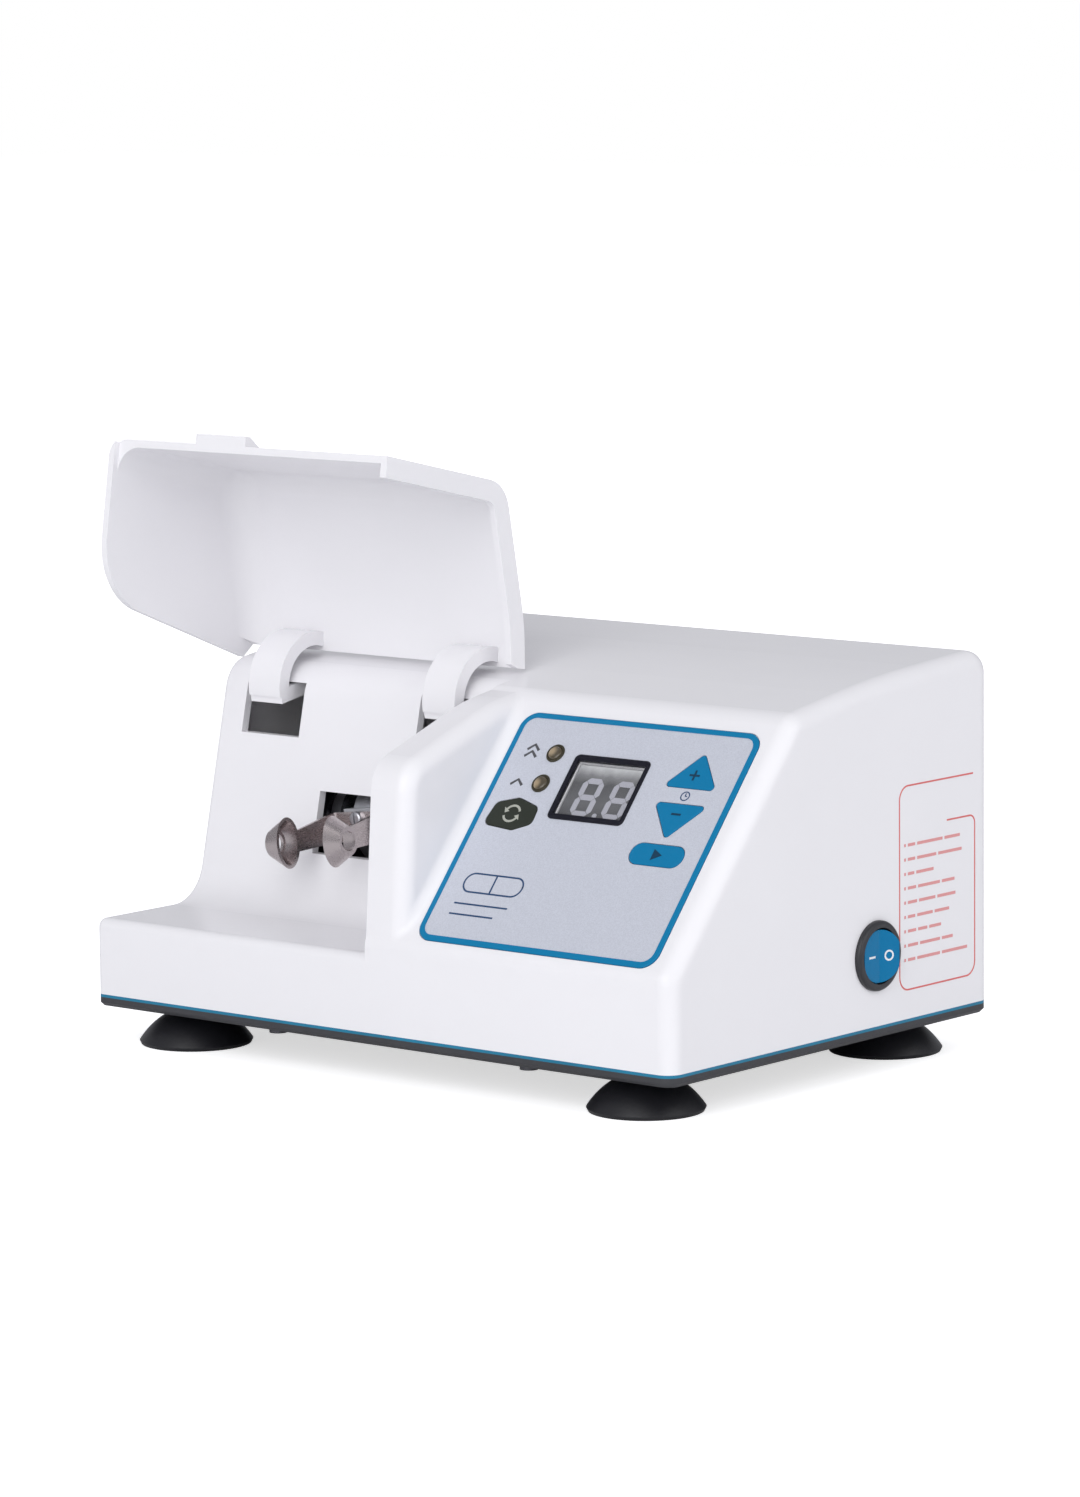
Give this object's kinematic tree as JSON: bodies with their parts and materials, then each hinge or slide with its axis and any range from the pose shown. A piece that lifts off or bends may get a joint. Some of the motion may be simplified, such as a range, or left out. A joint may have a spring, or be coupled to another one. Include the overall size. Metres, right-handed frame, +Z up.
{
  "type": "dental amalgamator",
  "caption": "Bench mixer for dental capsules: white housing with hinged lid over a mixing bay, rocking fork on an inclined journal, sloped control panel, rocker switch, suction feet.",
  "frame": {"origin": "middle of the overall box, on the table under the feet", "axes": "+X to the right, +Y to the back, +Z up; the lid is stored open"},
  "size_m": [0.252, 0.1826, 0.2046],
  "materials": {
    "white_plastic": "smooth gloss white moulding",
    "base_grey": "fine satin texture",
    "seal_blue": "satin strip",
    "foot_rubber": "satin black",
    "steel_screws": "zinc plated",
    "brass_pins": "turned",
    "bracket_plastic": "moulded",
    "fork_metal": "tumbled, nickel plated",
    "overlay_silver": "fine metallic print",
    "border_blue": "smooth",
    "display_dark": "smooth",
    "display_glass": "smoked pane",
    "lamp_dark": "smooth",
    "lamp_lens": "clear tinted lens",
    "key_blue": "printed film",
    "key_dark": "printed film",
    "board_green": "solder mask",
    "part_black": "moulded",
    "rocker_blue": "translucent moulding",
    "cast_aluminium": "machined casting",
    "motor_steel": "zinc grey",
    "core_iron": "laminated, varnished",
    "shaft_steel": "ground",
    "magnet_nickel": "nickel"
  },
  "bodies": {
    "root": {"housing": "white_plastic", "base_seal": "seal_blue", "base_tray": "base_grey", "foot_front_left": "foot_rubber", "foot_back_left": "foot_rubber", "foot_front_right": "foot_rubber", "foot_back_right": "foot_rubber", "foot_screws": "steel_screws", "housing_screws": "steel_screws", "hinge_brackets": "bracket_plastic", "hinge_pins": "brass_pins", "lid_sensor": "part_black", "panel_border": "border_blue", "panel_overlay": "overlay_silver", "display_bezel": "display_dark", "display_pane": "display_glass", "display_module": "display_dark", "lamp_rings": "lamp_dark", "lamp_lenses": "lamp_lens", "lamps": "lamp_lens", "control_board": "board_green", "board_spacers": "steel_screws", "board_screws": "steel_screws", "key_switches": "part_black", "switch_body": "part_black", "cord_gland": "part_black", "gland_nut": "part_black", "fuse_holder": "part_black", "shaft_bearings": "shaft_steel", "drive_frame": "cast_aluminium", "motor_can": "motor_steel", "motor_end_plate": "cast_aluminium", "motor_screws": "steel_screws", "isolators": "foot_rubber", "frame_bolts": "steel_screws", "upper_spring": "shaft_steel", "lower_spring": "shaft_steel", "spring_pillar": "steel_screws", "power_board": "board_green", "board_feet": "part_black", "transformer": "core_iron"},
    "lid": {"lid": "white_plastic", "lid_magnet": "magnet_nickel"},
    "rotor": {"rotor_shaft": "shaft_steel", "tilted_journal": "shaft_steel", "balance_weights": "shaft_steel", "shaft_coupling": "cast_aluminium", "armature": "core_iron"},
    "fork": {"fork_hub": "cast_aluminium", "hub_bearing": "shaft_steel", "fork": "fork_metal", "fork_screw": "steel_screws"},
    "rocker": {"rocker": "rocker_blue"},
    "fuse_cap": {"fuse_cap": "part_black"},
    "key_up": {"key_up": "key_blue"},
    "key_down": {"key_down": "key_blue"},
    "key_start": {"key_start": "key_blue"},
    "key_select": {"key_select": "key_dark"}
  },
  "joints": [
    {"name": "lid_hinge", "type": "hinge", "parent": "root", "child": "lid", "pos_m": [-0.12321, -0.01495, 0.1155], "axis": [1, 0, 0], "range_deg": [0, 98.7]},
    {"name": "motor_spin", "type": "hinge", "parent": "root", "child": "rotor", "pos_m": [-0.05801, -0.01525, 0.0715], "axis": [1, 0, 0], "continuous": true},
    {"name": "fork_wobble", "type": "hinge", "parent": "rotor", "child": "fork", "pos_m": [-0.05801, -0.01525, 0.0715], "axis": [0.9936, 0, 0.1132], "continuous": true, "deforming": ["upper_spring", "lower_spring"]},
    {"name": "power_rocker", "type": "hinge", "parent": "root", "child": "rocker", "pos_m": [0.12079, 0.01505, 0.0397], "axis": [0, 0, 1], "range_deg": [0, 20]},
    {"name": "fuse_cap_turn", "type": "hinge", "parent": "root", "child": "fuse_cap", "pos_m": [0.05279, 0.07825, 0.0465], "axis": [0, 1, 0], "range_deg": [-90, 0]},
    {"name": "key_up_press", "type": "slide", "parent": "root", "child": "key_up", "axis": [0, 0.7581, -0.6521], "range_m": [0, 0.0005], "stiffness_N_per_m": 1500},
    {"name": "key_down_press", "type": "slide", "parent": "root", "child": "key_down", "axis": [0, 0.7581, -0.6521], "range_m": [0, 0.0005], "stiffness_N_per_m": 1500},
    {"name": "key_start_press", "type": "slide", "parent": "root", "child": "key_start", "axis": [0, 0.7581, -0.6521], "range_m": [0, 0.0005], "stiffness_N_per_m": 1500},
    {"name": "key_select_press", "type": "slide", "parent": "root", "child": "key_select", "axis": [0, 0.7581, -0.6521], "range_m": [0, 0.0005], "stiffness_N_per_m": 1500}
  ],
  "couplings": [
    {"joint": "fork_wobble", "follows": "motor_spin", "ratio": -1}
  ]
}
